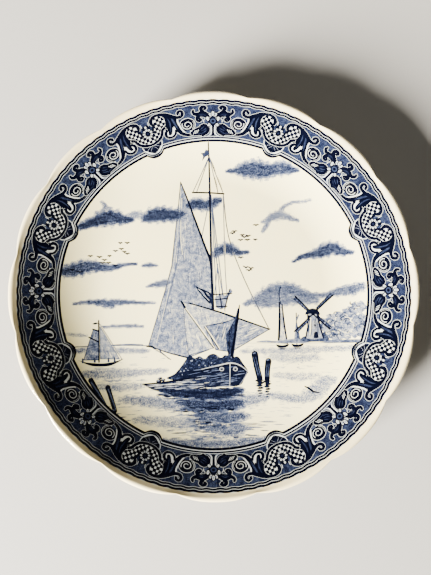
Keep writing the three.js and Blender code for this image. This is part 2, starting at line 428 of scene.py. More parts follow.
def shell(d):
    d.stroke(even((40.0, 9.2), (40.4, 6.6), (41.9, 3.9), (44.6, 1.4), (48.3, 0.3)), BARE, 0, -0.05)
    fan = [(40.9, 9.2), (41.2, 6.7), (42.7, 4.3), (45.1, 2.1), (48.3, 1.0), (48.3, 9.2), (44.0, 9.8)]
    d.fill(closed(fan), 0.88, 0.5)
    ribs = ((42.4, 6.7, 1.1, 1.35, -35), (44.2, 4.7, 1.0, 1.55, -25), (46.2, 3.3, 0.85, 1.55, -12),
            (HALF, 2.6, 0.77, 1.75, 0))
    for x, h, across, out, turn in ribs:
        d.fill(oval((x, h), (across, out), turn), NAVY)
    d.stroke([(46.6, 7.6, 0.22), (44.4, 6.2, 0.24), (43.0, 5.3, 0.22)], PALE)
    d.stroke([(47.3, 6.4, 0.22), (46.0, 4.9, 0.24), (45.1, 3.6, 0.22)], PALE)


BORDER_SPREAD = 0.44


def border_drawing():
    """The ground, the ornament on it, and the lines along both edges of a length of border."""
    d = Drawing()
    d.fill(band(lambda x: 5.4 - 0.3 * bump(x), lambda x: 32.5 + wave(x, 0.28)), 0.7, 0.7)
    half = Drawing(BORDER_SPREAD)
    for part in (volute, great_leaf, acanthus, shell, horn, crest, blossom, antler_leaf, stem, flower):
        part(half)
    half.mirrored(0)
    half.mirrored(HALF)
    for outline, ink, grain in half.marks:
        outline = outline + SLIDE
        x = outline[:, 0]
        if x.max() > -0.5 and x.min() < REPEAT + 0.5:
            d.fill(outline, ink, grain)
    d.fill(line_along(lambda x: 3.9 - bump(x) * 1.1, 1.35), BARE)
    d.fill(line_along(lambda x: 4.3 - bump(x) * 1.15, 0.78), 0.84)
    d.fill(line_along(lambda x: 1.65 - bump(x), 1.15), NAVY)
    d.fill(line_along(lambda x: 35.8 + wave(x), 1.05), NAVY)
    d.fill(line_along(lambda x: 33.6 + wave(x), 0.86), NAVY)
    return d.marks


# ---------------------------------------------------------------- the harbour scene, x to the right, y up
HORIZON = -51.5
WELL = 144.0
PRINT_SLIP = np.array((-1.72, -0.03))  # the print lies this far off the middle of the plate
PRINT_SIZE = 0.9953


def midway(a, b, half):
    """The middle of a line, with the half width of a stroke there."""
    return ((a[0] + b[0]) / 2, (a[1] + b[1]) / 2, half)


def sail(d, corners, ink, rng, lean, lines, edge=0.16, edge_ink=0.7):
    """A sail of stippled cloth with a few streaks down it and a fine outline."""
    shape = np.array(corners, float)
    d.fill(shape, ink, 1.0)
    d.hatch(shape, lines, (5, 18), lean, 0.24, ink + 0.14, rng, 0.9)
    d.hatch(shape, lines // 3, (4, 13), lean, 0.3, max(ink - 0.2, 0.03), rng, 0.5)
    for a, b in zip(corners, corners[1:] + corners[:1]):
        d.stroke([a + (edge,), midway(a, b, edge * 1.3), b + (edge,)], edge_ink, 0.4, per_span=2)


def water(d):
    rng = random.Random(3)
    for _ in range(520):
        y = HORIZON - 2 - 92 * rng.random() ** 0.8
        x = rng.uniform(-140, 142)
        if math.hypot(x, y) > WELL or (-44 < x < 34 and y > -96):
            continue
        near = (HORIZON - y) / 96
        length = rng.uniform(4, 10) + 9 * near * rng.random()
        ink = rng.uniform(0.1, 0.22) + (0.08 if x < 0 else 0.0) * near
        d.dash((x, y), length, rng.uniform(-0.4, 0.4), rng.uniform(0.18, 0.5), ink, 0.8)
    for _ in range(60):
        x, y = rng.uniform(-84, 70), rng.uniform(-146, -128)
        if math.hypot(x, y) < WELL + 3:
            d.dash((x, y), rng.uniform(8, 22), 0, rng.uniform(0.3, 0.8), rng.uniform(0.2, 0.55), 0.9)
    d.line(0.25, 0.5, 0.6, (-142, -52.6), (-90, -52.2), (-62, -53), per_span=6)
    d.line(0.45, 0.45, 0.8, (-102, -52), (-84, -51.3), (-70, -52), per_span=6)
    d.line(0.22, 0.4, 0.6, (34, -52), (80, -52.5), (146, -51.5), per_span=6)


def far_boats(d):
    rng = random.Random(81)
    sail(d, [(67.5, -12), (70.2, -14), (74.5, -53), (65.5, -52), (67, -35)], 0.24, rng, 92, 10)
    d.line(0.25, 0.75, 0, (69.5, 4), (67.4, -3), (68.8, -13))
    d.stroke([(67.8, -12, 0.5), (67.2, -34, 1.0), (65.8, -52, 0.7)], 0.9, 0.4)
    d.stroke([(70.3, -14, 0.4), (72, -34, 0.7), (74.6, -53, 0.5)], 0.8, 0.4)
    d.line(0.32, 0.72, 0, (84.2, -23), (84.0, -54))
    d.line(0.5, 0.5, 0.5, (86.4, -25), (84.4, -30))
    d.fill([(84, -28), (81.0, -52), (84, -52)], 0.4, 0.8)
    d.fill([(84.4, -30), (88.2, -52), (84.4, -52)], 0.62, 0.8)
    for x, y, w in ((69.5, -54.6, 6.6), (84.5, -54.2, 6.2)):
        hull = [(x - w, y + 0.8), (x, y - 0.1), (x + w, y + 1.0), (x + w * 0.6, y - 2.2),
                (x - w * 0.6, y - 2.4)]
        d.fill(closed(hull), 0.95, 0.3)
        d.fill(lens((x - w * 0.7, y - 3.4), (x + w * 0.7, y - 3.6), 0.6), 0.7, 0.6)
        for k in range(7):
            low = y - 5 - 2.9 * k
            reach = w * (0.55 - 0.04 * k)
            d.fill(lens((x - reach + k % 3, low), (x + reach - k % 2, low), 0.5), 0.34 - 0.02 * k, 0.9)


def shore(d):
    rng = random.Random(29)
    bank = [(44, -51.4), (54, -49.4), (62, -50.4), (80, -48.4), (96, -48), (112, -46), (112, -52.6),
            (80, -52.8)]
    d.fill(closed(bank, 3), 0.42, 1.0)
    trees = ((108, -37, 6), (114, -33, 7), (120, -29, 7), (128, -27, 7), (137, -23, 8), (145, -18, 8),
             (118, -42, 8), (127, -37, 8), (136, -33, 8), (145, -31, 9), (112, -46, 6), (122, -46, 7),
             (131, -44, 8), (140, -42, 8), (148, -42, 8))
    for x, y, r in trees:
        a = np.linspace(0, 2 * math.pi, 24, endpoint=False)
        ragged = r * (0.9 + 0.13 * np.cos(5 * a + x) + 0.07 * np.cos(9 * a + y))
        d.fill(np.stack([x + ragged * np.cos(a), y + 0.8 * ragged * np.sin(a)], 1), 0.36, 1.0)
    for x, y, r in trees:
        for _ in range(9):
            start = rng.uniform(0, math.pi)
            cx, cy = x + rng.uniform(-r, r) * 0.7, y + rng.uniform(-r, r) * 0.6
            size = rng.uniform(1.2, 3.4)
            arc = []
            for k in range(4):
                a = start + 0.7 * k
                arc.append((cx + size * math.cos(a), cy + 0.75 * size * math.sin(a), 0.32))
            d.stroke(arc, rng.choice((0.06, 0.5, 0.6, 0.7)), 0.6, per_span=2, widen=rng.uniform(-0.2, 0.02))
    d.fill(closed([(100, -49), (120, -50), (150, -49.5), (150, -52.6), (100, -53)], 3), 0.46, 1.0)


def mill(d):
    rng = random.Random(91)
    d.fill(closed([(88, -50), (92, -46), (112, -45.4), (116, -50), (110, -52), (94, -52)], 3), 0.6, 0.9)
    wall = [(95.6, -24), (105.6, -24), (107.4, -36), (110.6, -48), (93, -48), (95.4, -36)]
    d.fill(closed(wall, 2), 0.3, 0.8)
    d.hatch(np.array(wall, float), 26, (5, 12), 82, 0.35, 0.6, rng)
    d.stroke([(98.4, -28, 0.5), (98.0, -38, 0.7), (97.2, -45, 0.5)], 0.04, 0.2)
    d.stroke([(95.6, -25, 0.5), (95.4, -36, 0.5), (93, -48, 0.4)], 0.82, 0.4)
    d.stroke([(105.6, -25, 0.7), (107.4, -36, 0.7), (110.6, -48, 0.6)], 0.85, 0.4)
    cap = [(93.4, -24.8), (95.0, -20.6), (100.6, -18.4), (106, -20.4), (107.8, -25.2), (101, -23.8)]
    d.fill(closed(cap), 0.9, 0.5)
    hub = np.array((101.0, -24.0))
    for tip, reach in ((134, 24.5), (42, 27), (-44, 21.5), (222, 25)):
        a = math.radians(tip)
        along = np.array((math.cos(a), math.sin(a)))
        side = np.array((-math.sin(a), math.cos(a)))

        def on_arm(out, across):
            return tuple(hub + along * out + side * across)

        cloth = [on_arm(5, -0.6), on_arm(reach, -0.8), on_arm(reach, 3.4), on_arm(6, 2.6)]
        d.fill(cloth, 0.82, 0.5)
        inner = [on_arm(8, 0.5), on_arm(reach - 1, 0.5), on_arm(reach - 1, 2.6), on_arm(8.5, 1.9)]
        d.fill(inner, 0.56, 0.9)
        for k in range(5):
            out = 9.5 + 3.2 * k
            d.stroke([on_arm(out, 0.2) + (0.2,), on_arm(out, 2.9) + (0.2,)], 0.8, per_span=1)
        d.stroke([tuple(hub) + (0.5,), on_arm(reach + 0.6, 0) + (0.55,)], 0.96, per_span=2)
    d.fill(oval(hub, (1.8, 1.8)), 0.98)
    for x, y in ((96.4, -26.6), (106.4, -26.6)):
        d.fill(oval((x, y), (1.2, 1.5)), 0.95)
    d.fill(oval((102.6, -35.5), (0.9, 1.3)), 0.95)
    d.fill(closed([(101.2, -48), (101.4, -43), (103.4, -41.6), (105.2, -43), (105.6, -48)], 2), 0.9, 0.4)
    d.fill(lens((93, -52.4), (112, -52.2), 0.6), 0.05)


def small_boat(d):
    rng = random.Random(71)
    main = [(-119, -36), (-114, -38), (-112.8, -66), (-127, -65.5), (-122, -46)]
    sail(d, main, 0.42, rng, 85, 14, 0.12, 0.6)
    sail(d, [(-112.4, -33), (-93, -65.5), (-111.5, -65)], 0.3, rng, 118, 14, 0.12, 0.5)
    d.line(0.5, 0.92, 0, (-113.8, -27), (-112.8, -68))
    d.line(0.4, 0.85, 0, (-119.5, -35.5), (-113.4, -37.5))
    d.line(0.4, 0.85, 0, (-123, -43.4), (-113.4, -48.5))
    d.line(0.14, 0.5, 0, (-113, -30), (-90.5, -66))
    d.fill(closed([(-120, -30.4), (-117, -28.8), (-114, -29.6), (-117, -31)], 3), 0.75)
    hull = [(-132, -65.6), (-124, -68), (-110, -69.4), (-98, -68), (-89, -65.4), (-98, -70.6),
            (-106, -72.6), (-120, -71.4)]
    d.fill(closed(hull), 0.88, 0.4)
    for x in (-128, -117, -104, -98):
        d.stroke([(x, -64.4, 0.4), (x + 0.3, -67.6, 0.8)], 0.6, 0.6, per_span=2)
    shade = np.array([(-124, -73), (-92, -73), (-88, -90), (-116, -88)], float)
    d.hatch(shade, 50, (4, 12), 0, 0.36, 0.26, rng, 0.9)


def reflections(d):
    """The barge mirrored in rippled water: dark under the hull, paler and more broken further down."""
    rng = random.Random(19)
    for _ in range(560):
        deep = rng.random() ** 1.15
        y = -96 - 48 * deep
        spread = 40 - 16 * deep
        centre = -14 + 18 * deep
        x = centre + rng.uniform(-spread, spread)
        length = rng.uniform(5, 15) * (1 - 0.2 * deep)
        ink = 0.82 - 0.4 * deep + 0.12 * math.sin(0.42 * y) + rng.uniform(-0.28, 0.12)
        if abs(x - centre) > spread * 0.8:
            ink *= 0.6
        slip = rng.uniform(-0.5, 0.5)
        d.dash((x, y), length, slip, rng.uniform(0.35, 0.95), min(1.0, max(0.16, ink)), 0.7)
    for _ in range(70):
        place = (rng.uniform(-52, 28), rng.uniform(-106, -95))
        d.dash(place, rng.uniform(5, 15), 0, rng.uniform(0.4, 0.85), rng.uniform(0.5, 0.95), 0.7)
    for _ in range(24):
        place = (rng.uniform(-40, 26), rng.uniform(-138, -97))
        d.dash(place, rng.uniform(8, 20), 0, rng.uniform(0.15, 0.3), 0.08, 0.3)


def posts(d):
    """Mooring posts that stand in the water, with broken reflections."""
    for foot, head, half in (((46.2, -87), (41.8, -63), 3.2), ((53.6, -88), (55.2, -70), 2.9)):
        middle = ((foot[0] + head[0]) / 2 - 0.5, (foot[1] + head[1]) / 2, half * 0.9)
        d.stroke([head + (half,), middle, foot + (half * 0.85,)], 0.97, 0.6)
        for k in (-0.45, 0.25):
            top = (head[0] + k * half, head[1] - 3, 0.1)
            low = (foot[0] + k * half, foot[1] + 3, 0.14)
            d.stroke([top, low], 0.62, 0.8, per_span=2)
        d.fill(oval((head[0] - 0.4, head[1] + 1.0), (half * 0.5, 0.6), 12), 0.5, 0.5)
        for k in range(7):
            y = foot[1] - 2.2 - 2.5 * k
            w = half * (1.25 - 0.09 * k)
            start = (foot[0] - w * 1.3 + k % 2, y)
            end = (foot[0] + w * 1.3 - (k + 1) % 2, y + 0.5)
            d.fill(lens(start, end, 1.5 - 0.12 * k), 0.95 - 0.05 * k, 0.6)
    for foot, head in (((-105, -110), (-119.5, -85)), ((-95.5, -115), (-103.6, -92.5))):
        d.stroke([head + (2.1,), foot + (1.7,)], 0.95, 0.4, per_span=3)
        d.fill(oval(head, (2.5, 1.9), 20), 0.85)
        d.line(0.3, 0.5, 0.6, (head[0] + 0.6, head[1] - 2), (foot[0] + 0.4, foot[1] + 2))
    for k in range(5):
        x, y = -106 + 5 * k, -111 - 3.4 * k
        d.fill(lens((x - 6, y), (x + 7, y + 0.5), 0.6), 0.45 - 0.04 * k, 0.9)


def rigging(d):
    for foot in ((5, -14), (9, -18), (13, -20)):
        d.line(0.2, 0.52, 0.3, (1, 99), foot)
    for side in (-18, -14, 8, 13):
        d.line(0.18, 0.55, 0.3, (-0.4, 138), (side, 101.5))
    d.line(0.26, 0.62, 0.3, (13.4, 100), (18, 56), (33, 12), (56, -37), per_span=4)
    d.line(0.2, 0.52, 0.3, (13.4, 100), (14, 20), (16, -8))
    for top, low in (((0, 97), (-10, 52)), ((6, 28), (11, -4)), ((6.5, 28), (3, -2))):
        d.line(0.2, 0.5, 0.3, top, low)


def great_sails(d):
    rng = random.Random(11)
    rigging(d)
    main = [(-30, 113), (-33, 84), (-36, 62), (-40, 27), (-45, 8), (-52, -14), (-64, -53), (-45, -60),
            (-24, -65), (-4, -58), (1, -12), (-0.4, 31), (-6, 46), (-17, 77), (-24, 97)]
    sail(d, main, 0.36, rng, 93, 130, edge=0.16)
    d.line(0.24, 0.08, 0.3, (-29.8, 108), (-35, 50), (-43, 4), (-56, -50), per_span=6)
    d.line(0.3, 0.5, 0.6, (-28.6, 100), (-32, 52), (-36, 24), (-48, -22), per_span=6)
    d.line(0.4, 0.1, 0.4, (-29, 96), (-30.6, 60), (-29, 38), per_span=6)
    for shift in (0, 6, 13):
        d.line(0.3, 0.42, 0.8, (-24 + shift * 0.4, 60 - shift), (-26 + shift * 0.3, 20), per_span=6)
    gaff = [(-30, 113, 0.3), (-24, 97, 0.6), (-17, 77, 0.8), (-6, 46, 0.95), (-0.6, 30, 1.1), (0.4, 8, 0.6)]
    d.stroke(gaff, 0.95, 0.3)
    d.line(0.35, 0.8, 0.4, (-64, -53), (-45, -60), (-24, -66), per_span=6)
    d.line(0.2, 0.6, 0.3, (-62, -54), (-52, -60), (-42, -67), per_span=6)
    d.line(0.2, 0.6, 0.3, (-54, -57), (-44, -66), per_span=6)
    d.stroke([(-66, -53.4, 0.5), (-61, -53.8, 0.7), (-57, -55.4, 0.3)], 0.95)
    # the mast, its crosstree and the pennant
    mast = [(-0.8, 150.5, 0.45), (-0.4, 120, 0.7), (0, 60, 1.05), (0.6, 10, 1.2), (1, -20, 1.2)]
    d.stroke(mast, 0.9, 0.3)
    d.stroke([(0.9, 92, 0.1), (1.0, 40, 0.25), (1.6, 8, 0.2)], 0.3, 0.4)
    d.line(0.62, 0.96, 0.1, (-18, 102), (-1, 101.3), (14, 100), per_span=6)
    d.fill(oval((-0.6, 101.5), (1.4, 1.8)), 0.92)
    pennant = [(-0.9, 143), (-3.6, 144.2), (-5.4, 141.6), (-8.8, 141.2), (-6.6, 138.2), (-7.6, 133.6),
               (-4.2, 137.4), (-1, 139.2)]
    d.fill(closed(pennant), 0.66, 0.6)
    # a dark gathered topsail at the foot of the mast, and the rolled canvas on the other side of it
    gathered = [(-17, 7), (-12, 4), (-7, 2), (-1, -1), (1.5, -12), (-3, -12), (-9, -5), (-14, 1)]
    d.fill(np.array(gathered, float), 0.8, 0.8)
    d.hatch(np.array(gathered, float), 16, (3, 8), 140, 0.3, 0.3, rng)
    bundle = [(3, -6), (8, -3), (14, -4), (19, 3), (21, 0), (16, -7), (14, -16), (9, -18), (4, -16)]
    d.fill(np.array(bundle, float), 0.4, 0.9)
    lashings = (((2, -3), (20, -2)), ((3, -8), (16, -7)), ((4, -15), (15, -15)), ((8, -3), (10, -17)),
                ((18, 2), (13, -17)))
    for a, b in lashings:
        d.line(0.4, 0.85, 0.4, a, b)
    # the lower sails, to the right of the mast
    lower = [(-29, -10), (-14, -14), (5, -20), (24, -28), (-4, -34), (2, -56), (-24, -63), (-27, -40)]
    sail(d, lower, 0.27, rng, 105, 50, edge=0.14, edge_ink=0.55)
    sail(d, [(-6, -34), (10, -32), (24, -27), (21, -44), (16, -60), (3, -58)], 0.42, rng, 72, 50, edge=0.16)
    sail(d, [(25, -27), (57, -38.6), (19, -60)], 0.34, rng, 20, 50, edge=0.16)
    for a, b in (((-28, -14), (2, -56)), ((-7, -35), (7, -57))):
        d.stroke([a + (0.4,), midway(a, b, 1.0), b + (0.4,)], 0.06, 0.2)
        d.stroke([(a[0] - 0.9, a[1], 0.25), (b[0] - 1.1, b[1], 0.35)], 0.8, 0.4, per_span=2)
    d.stroke([(-31, -9, 0.5), (-29, -12, 0.9), (-26.5, -15.5, 0.4)], 0.9, 0.3)
    d.stroke([(-23, -11, 0.35), (10, -21.5, 0.7), (57, -38.6, 0.5)], 0.95, 0.2)
    d.fill(oval((56.8, -38.4), (1.3, 0.9)), 0.95)
    # the dark furled sail and its yard
    roll = [(27.5, -15), (25.4, -18), (22.6, -28), (16.5, -38), (13, -45), (15, -62), (14.5, -72),
            (20, -72), (22, -58), (25.5, -34)]
    d.fill(np.array(roll, float), 0.7, 1.0)
    d.hatch(np.array(roll, float), 40, (4, 11), 78, 0.35, 0.95, rng)
    d.stroke([(27.6, -14, 0.3), (25.4, -28, 0.9), (21, -52, 0.9), (17.4, -72, 0.8)], 1.0)


def barge_hull(d):
    """The loaded barge, its bow turned this way, and the low boat beside it."""
    rng = random.Random(7)
    heap = [(-46, -86), (-38, -81), (-31, -73), (-26, -66), (-23, -62.5), (-18, -66), (-13, -64), (-8, -67),
            (-4, -63), (2, -62), (8, -66), (13, -63), (19, -66), (25, -65), (30, -72), (34, -80), (20, -84),
            (0, -87), (-20, -90)]
    shape = closed(heap, 3)
    d.fill(shape, 0.78, 0.9)
    for _ in range(420):
        at = np.array((rng.uniform(-45, 33), rng.uniform(-88, -61)))
        if inside(at, shape):
            size = rng.uniform(0.4, 1.0)
            blob = oval(at, (size, size * rng.uniform(0.35, 0.7)), rng.uniform(0, 180), 7)
            d.fill(blob, rng.choice((0.34, 0.48, 0.6, 0.7, 1.0, 1.0, 1.0)), 0.5)
    hull = [(-30, -80), (-12, -76.5), (4, -73.2), (17, -71), (26, -72.8), (34.5, -78.5), (31, -87),
            (26, -93.6), (10, -94.6), (-10, -95), (-30, -92)]
    d.fill(closed(hull), 0.88, 0.7)
    d.hatch(np.array(hull, float), 80, (5, 16), 7, 0.26, 0.5, rng, 0.6)
    gunwale = [(-12, -77.2, 0.3), (4, -73.8, 0.6), (17, -71.4, 0.7), (26, -73.4, 0.6), (34.4, -79.4, 0.5)]
    d.stroke(gunwale, 0.24, 0.3, widen=-0.12)
    d.stroke([(x, y - 1.8, w * 0.6) for x, y, w in gunwale], 1.0)
    d.stroke([(17, -72, 0.45), (16.8, -82, 0.4), (16.2, -94, 0.3)], 0.24, 0.3)
    d.stroke([(34, -80, 0.3), (30.4, -87, 0.3), (25.6, -93.6, 0.25)], 0.34, 0.3)
    for x, y in ((8.6, -77.2), (22.2, -77.4)):
        d.fill(oval((x, y), (2.3, 2.0)), 0.25, 0.3)
        d.fill(oval((x, y), (1.45, 1.3)), 1.0)
        d.fill(oval((x - 0.3, y + 0.3), (0.4, 0.4), steps=8), 0.4)
    low = [(-70, -91), (-62, -90.4), (-50, -88.8), (-36, -87.4), (-20, -86), (-6, -84.6), (-2, -90),
           (-8, -95), (-30, -97.4), (-52, -98), (-61, -96)]
    d.fill(closed(low), 0.76, 0.8)
    d.hatch(np.array(low, float), 60, (5, 14), 3, 0.3, 0.3, rng, 0.6)
    d.stroke([(-70, -90.8, 0.4), (-56, -90, 0.55), (-30, -86.8, 0.5), (-8, -84.6, 0.3)], 1.0)
    d.stroke([(-66, -93, 0.3), (-50, -91.6, 0.35), (-26, -89.6, 0.3)], 0.24, 0.4)
    # sacks stacked in the stern of the low boat
    for x, y, w, t in ((-54, -88, 2.8, 1.8), (-49.6, -87, 2.3, 1.5), (-52.6, -85.2, 2.0, 1.3)):
        d.fill(oval((x, y), (w, t), 8), 0.9, 0.5)
        d.fill(oval((x - 0.5, y + 0.5), (w * 0.45, t * 0.4), 8, 8), 0.35, 0.5)


def birds(d):
    """Two flocks of small gulls in the sky, and one gull low over the water."""
    rng = random.Random(43)
    flock = [(-92, 51), (-85, 51), (-97, 43), (-91, 45), (-85, 40), (-88, 42), (-122, 38), (-113, 37),
             (-108, 34), (-103, 38), (-110, 31), (-104, 31), (-97, 28), (-139, 24), (-132, 22), (22, 59),
             (24, 61), (32, 57), (34, 55), (38, 56), (37, 52), (30, 52), (45, 52), (46, 67), (30, 34),
             (35, 24), (40, 23), (38, 21)]
    for x, y in flock:
        w = rng.uniform(1.9, 3.0)
        tip = y + 0.5 * w * rng.random()
        wings = [(x - w, tip, 0.24), (x - w * 0.4, y + 0.5, 0.46), (x, y - 0.3, 0.6),
                 (x + w * 0.5, y + 0.6, 0.46), (x + w, y + 0.3, 0.22)]
        d.stroke(wings, rng.uniform(0.72, 1.0), 0.2, per_span=3)
    gull = [(90, -95, 0.2), (94, -97, 0.8), (97, -99.4, 0.8), (99, -100.2, 0.6), (103.5, -100.8, 0.2)]
    d.stroke(gull, 0.95)


SCENE_SPREAD = 0.26


def harbour_drawing():
    """The whole scene, from the water at the back to the birds in front."""
    d = Drawing(SCENE_SPREAD)
    backdrop = (water, far_boats, shore, mill, small_boat)
    for part in backdrop + (reflections, posts, great_sails, barge_hull, birds):
        part(d)
    return [(outline * PRINT_SIZE + PRINT_SLIP, ink, grain) for outline, ink, grain in d.marks]


# Soft clouds, each a strength and a chain of (x, y, half height).
CLOUDS = (
    (0.75, ((18, 123, 0.8), (28, 123.5, 3), (36, 124, 7), (46, 124, 9.5), (55, 122, 8), (64, 123, 6.5),
            (73, 123.5, 6.5), (81, 121.5, 3.5), (88, 120.5, 1))),
    (0.8, ((-130, 67, 2.5), (-121, 71, 4), (-112, 74, 6), (-104, 77, 8.5), (-97, 77, 7), (-89, 75, 4.5),
           (-82, 75, 2.5))),
    (0.5, ((-109, 92, 0.5), (-105, 87, 1.6))),
    (0.42, ((-81, 79, 3), (-74, 80, 4), (-68, 78, 3))),
    (0.8, ((-66, 75, 3), (-60, 78, 6.5), (-52, 80, 8), (-44, 79, 7), (-36, 79, 6.5), (-30, 80, 4))),
    (0.75, ((-21, 88, 4), (-13, 90, 6), (-5, 88, 5), (3, 91, 4.5), (9, 93, 2.5))),
    (0.52, ((53, 70, 0.8), (60, 73, 2), (67, 76, 4.5), (74, 76, 3.5), (82, 73, 2), (88, 71, 0.8))),
    (0.45, ((70, 80, 1.2), (76, 86, 1.1), (84, 89.5, 0.9), (94, 90, 0.7), (101, 91, 0.4))),
    (0.5, ((60, 72, 1.5), (55, 64, 1), (53, 60, 0.4))),
    (0.75, ((83, 29, 0.5), (93, 34, 2), (104, 36, 4), (114, 39, 6), (122, 42, 6), (130, 38, 4),
            (140, 36.5, 1.2))),
    (0.7, ((-144, 22, 5), (-136, 24, 7), (-128, 27, 6.5), (-119, 27.5, 5.5), (-110, 26.5, 4), (-101, 26, 3),
           (-92, 28, 1.6), (-83, 29.5, 0.9), (-76, 29.5, 0.4))),
    (0.6, ((-69, 27.5, 0.5), (-63, 28, 1.8), (-56, 27.5, 0.5))),
    (0.6, ((-65, 6, 0.4), (-57, 8, 2), (-50, 9, 3.2), (-44, 10, 3))),
    (0.65, ((-137, -10, 0.5), (-124, -8.5, 1.4), (-112, -9, 3), (-104, -10.5, 4.2), (-96, -9, 3),
            (-84, -9.3, 1.6), (-70, -10, 1), (-58, -10.5, 0.4))),
    (0.6, ((-109, -33.5, 0.5), (-95, -33, 0.9), (-80, -33, 0.9), (-70, -33.5, 0.4))),
    (0.3, ((-143, -40, 0.6), (-133, -41, 1), (-126, -42, 0.6))),
    (0.75, ((4, 37, 2), (9, 41, 4), (16, 44, 5.5), (22, 41, 4.5), (28, 39, 2.5), (37, 39.5, 0.8))),
    (0.6, ((34, -13, 1.5), (44, -9, 3.5), (54, -5, 6), (64, -1, 8), (74, 1, 7.5), (84, -1, 6), (94, -5, 4),
            (104, -5.5, 2.5), (116, -5, 2), (128, -2, 4), (138, -1, 5), (147, 2, 4))),
    (0.55, ((46, -13, 2.5), (56, -12, 5), (67, -9, 7), (79, -9, 6), (91, -10, 4.5), (104, -11, 3))),
)
# Soft water in the same form, wider than it is high.
SHALLOWS = (
    (0.4, ((-140, -56, 2), (-100, -57, 2.5), (-70, -58, 2))),
    (0.34, ((-122, -79, 3), (-100, -80, 5), (-72, -79, 3), (-50, -78, 2))),
    (0.3, ((-112, -92, 2.5), (-90, -93, 4), (-72, -92, 2))),
    (0.42, ((-84, -105, 3), (-60, -108, 5), (-20, -112, 7), (20, -110, 7), (44, -106, 4))),
    (0.3, ((-70, -124, 3), (-40, -128, 5), (-10, -130, 5))),
    (0.28, ((62, -66, 3), (80, -68, 4), (98, -67, 3))),
    (0.26, ((66, -84, 2.5), (84, -86, 4), (100, -85, 2.5))),
    (0.32, ((34, -60, 2), (80, -60, 3), (138, -58, 2.5))),
    (0.36, ((60, -104, 3), (90, -106, 4), (112, -88, 3))),
    (0.5, ((-60, -144, 2.5), (-30, -147, 3.5), (10, -148, 3.5), (50, -144, 2.5))),
    (0.9, ((-42, -99, 2), (-22, -101, 4.5), (4, -102, 5.5), (22, -99, 3))),
    (0.8, ((-24, -110, 4), (-2, -113, 6), (20, -111, 5))),
    (0.62, ((-10, -122, 4), (8, -125, 5), (24, -123, 4))),
    (0.52, ((0, -134, 3), (14, -137, 4), (26, -134, 3))),
)


def wash_at(x, y):
    """How strong the soft washes are at each place."""
    x, y = (x - PRINT_SLIP[0]) / PRINT_SIZE, (y - PRINT_SLIP[1]) / PRINT_SIZE
    wash = np.zeros_like(x)
    ragged = 1 + 0.1 * np.sin(0.83 * x + 0.9 * np.sin(0.61 * y)) + 0.08 * np.sin(1.47 * y - 0.52 * x)
    for chains, stretch in ((CLOUDS, 1.35), (SHALLOWS, 2.6)):
        for strength, chain in chains:
            for cx, cy, r in smooth(chain, 5):
                reach = r + 1.1
                away = np.hypot((x - cx) / (reach * stretch), (y - cy) / reach) * ragged
                wash = np.maximum(wash, strength * np.clip(1.75 - 1.6 * away, 0, 1) ** 0.8)
    return wash


# ---------------------------------------------------------------- sheets of colour
def wound(points, outline):
    """How often an outline winds round each point."""
    x, y = points[:, 0:1], points[:, 1:2]
    ax, ay = outline[:, 0], outline[:, 1]
    bx, by = np.roll(ax, -1), np.roll(ay, -1)
    left = (bx - ax) * (y - ay) - (x - ax) * (by - ay)
    up = (ay <= y) & (by > y) & (left > 0)
    down = (ay > y) & (by <= y) & (left < 0)
    return up.sum(1) - down.sum(1)


def cut_sheet(marks, edge, lattice):
    """Cuts a sheet along its edge and every mark: places, triangles, and each triangle's ink and grain."""
    places = [Vector(p) for p in lattice]
    lines = []
    edge = np.round(edge, 2)
    for outline in [edge] + [np.round(mark[0], 2) for mark in marks]:
        first = len(places)
        count = len(outline)
        places += [Vector(p) for p in outline.tolist()]
        lines += [(first + k, first + (k + 1) % count) for k in range(count)]
    result = delaunay_2d_cdt(places, lines, [], 0, 1e-4, False)
    points = np.array([tuple(v) for v in result[0]])
    faces = np.array(result[2])
    middles = points[faces].mean(1)
    kept = wound(middles, edge) != 0
    faces, middles = faces[kept], middles[kept]
    ink = np.zeros(len(faces))
    grain = np.zeros(len(faces))
    for outline, tone, stipple in marks:
        low, high = outline.min(0), outline.max(0)
        near = np.flatnonzero(((middles >= low) & (middles <= high)).all(1))
        hit = near[wound(middles[near], outline) != 0]
        ink[hit] = min(max(tone, 0.0), 1.0)
        grain[hit] = stipple
    used, index = np.unique(faces, return_inverse=True)
    return points[used], index.reshape(-1, 3), ink, grain


def facing_up(faces, places):
    """The triangles, each turned so that it winds anticlockwise as seen from above."""
    a, b, c = (places[faces[:, k], :2] for k in range(3))
    turn = (b[:, 0] - a[:, 0]) * (c[:, 1] - a[:, 1]) - (b[:, 1] - a[:, 1]) * (c[:, 0] - a[:, 0])
    return np.where((turn < 0)[:, None], faces[:, ::-1], faces)


def outer_loop(faces):
    """The edges that only one triangle uses, walked in order."""
    rows = np.vstack([faces[:, (0, 1)], faces[:, (1, 2)], faces[:, (2, 0)]]).tolist()
    edges = dict.fromkeys((a, b) for a, b in rows)
    after = {a: b for a, b in edges if (b, a) not in edges}
    start, at = after.popitem()
    loop = [start]
    while at != start:
        loop.append(at)
        at = after.pop(at)
    return loop


